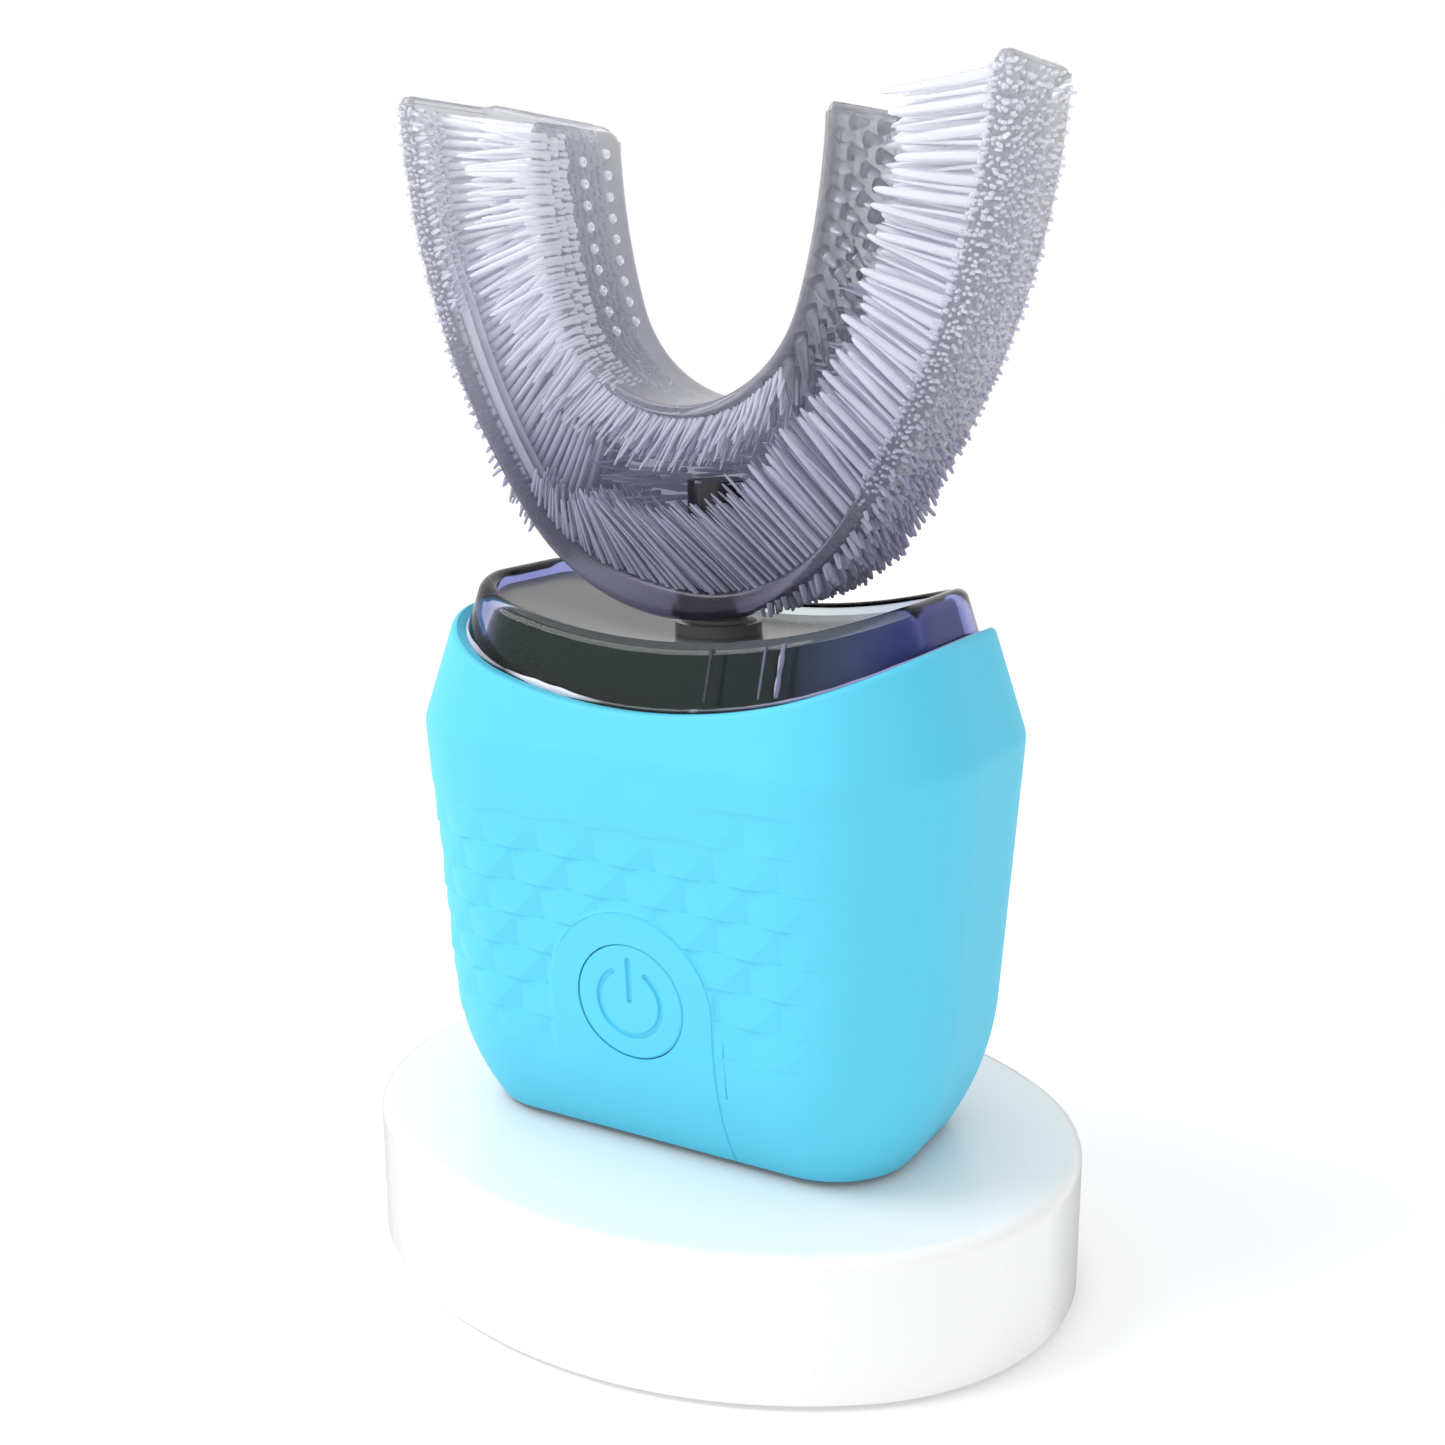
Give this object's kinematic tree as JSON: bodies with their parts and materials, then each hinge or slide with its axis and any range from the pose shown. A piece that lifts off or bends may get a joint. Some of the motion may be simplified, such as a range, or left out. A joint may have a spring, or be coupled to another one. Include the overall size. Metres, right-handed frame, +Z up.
{
  "type": "electric toothbrush on charger",
  "caption": "Mouthpiece toothbrush with a U-shaped bristled silicone tray on a soft-sleeved handle, standing on an oval wireless charger.",
  "frame": {"origin": "centre of the charger's underside", "axes": "+Z up from the charger to the mouthpiece's tips, +X across the charger's width, the power button faces -Y"},
  "size_m": [0.076, 0.06, 0.1156],
  "materials": {
    "charger_white": "smooth glossy white moulded plastic",
    "foot_rubber": "matte black rubber",
    "steel": "plain steel",
    "board_green": "solder-masked circuit board",
    "inner_plastic": "off-white moulded plastic",
    "copper": "enamelled copper winding",
    "ferrite": "sintered dark grey magnet and ferrite",
    "dark_plastic": "fine matte dark plastic",
    "cyan_silicone": "soft-touch cyan silicone with a faceted relief",
    "case_plastic": "grey moulded plastic",
    "cyan_button": "soft-touch cyan silicone",
    "cell_wrap": "shrink-wrapped cell",
    "bronze": "sintered bronze",
    "stem_steel": "satin steel pin",
    "led": "clear blue light-emitting diode",
    "smoky_lens": "clear smoky plastic with a violet tint at its edges",
    "collar_dark": "dark green-black glossy plastic",
    "seal_grey": "grey rubber",
    "core_plastic": "dark moulded plastic",
    "tray_silicone": "translucent smoky grey-lilac silicone with fine bristles"
  },
  "bodies": {
    "charger": {"charger_shell": "charger_white", "charger_bottom": "charger_white", "charger_foot_pad": "foot_rubber", "charger_screws": "steel", "charger_board": "board_green", "usb_socket": "steel", "coil_tray": "inner_plastic", "transmit_coil": "copper", "transmit_ferrite": "ferrite"},
    "handle": {"base_cap": "dark_plastic", "grip_sleeve": "cyan_silicone", "front_case": "case_plastic", "rear_case": "case_plastic", "case_screws": "steel", "button_switch": "dark_plastic", "main_board": "board_green", "battery": "cell_wrap", "receive_coil": "copper", "receive_ferrite": "ferrite", "drive_motor": "steel", "motor_winding": "copper", "motor_cradle": "foot_rubber", "stem_bushings": "bronze", "led_board": "board_green", "light_leds": "led", "lens_gasket": "foot_rubber", "collar_lens": "smoky_lens", "collar_insert": "collar_dark", "stem_seal": "seal_grey"},
    "button": {"power_button": "cyan_button"},
    "plunger": {"switch_plunger": "inner_plastic"},
    "drive": {"motor_rotor": "ferrite", "drive_stem": "stem_steel"},
    "mouthpiece": {"mouthpiece_core": "core_plastic", "mouthpiece_tray": "tray_silicone"}
  },
  "joints": [
    {"name": "handle_lift", "type": "slide", "parent": "charger", "child": "handle", "axis": [0, 0, 1], "range_m": [0, 0.03]},
    {"name": "button_press", "type": "slide", "parent": "handle", "child": "button", "axis": [0, 1, 0], "range_m": [0, 0.0006], "stiffness_N_per_m": 2500, "springref_m": -0.0004},
    {"name": "plunger_press", "type": "slide", "parent": "handle", "child": "plunger", "axis": [0, 1, 0], "range_m": [0, 0.0006]},
    {"name": "drive_swing", "type": "hinge", "parent": "handle", "child": "drive", "pos_m": [0, 0, 0.05], "axis": [0, 0, 1], "range_deg": [-3, 3], "stiffness_Nm_per_rad": 0.6},
    {"name": "head_pull", "type": "slide", "parent": "drive", "child": "mouthpiece", "axis": [0, 0, 1], "range_m": [0, 0.0105]}
  ],
  "couplings": [
    {"joint": "plunger_press", "follows": "button_press", "ratio": 1}
  ]
}
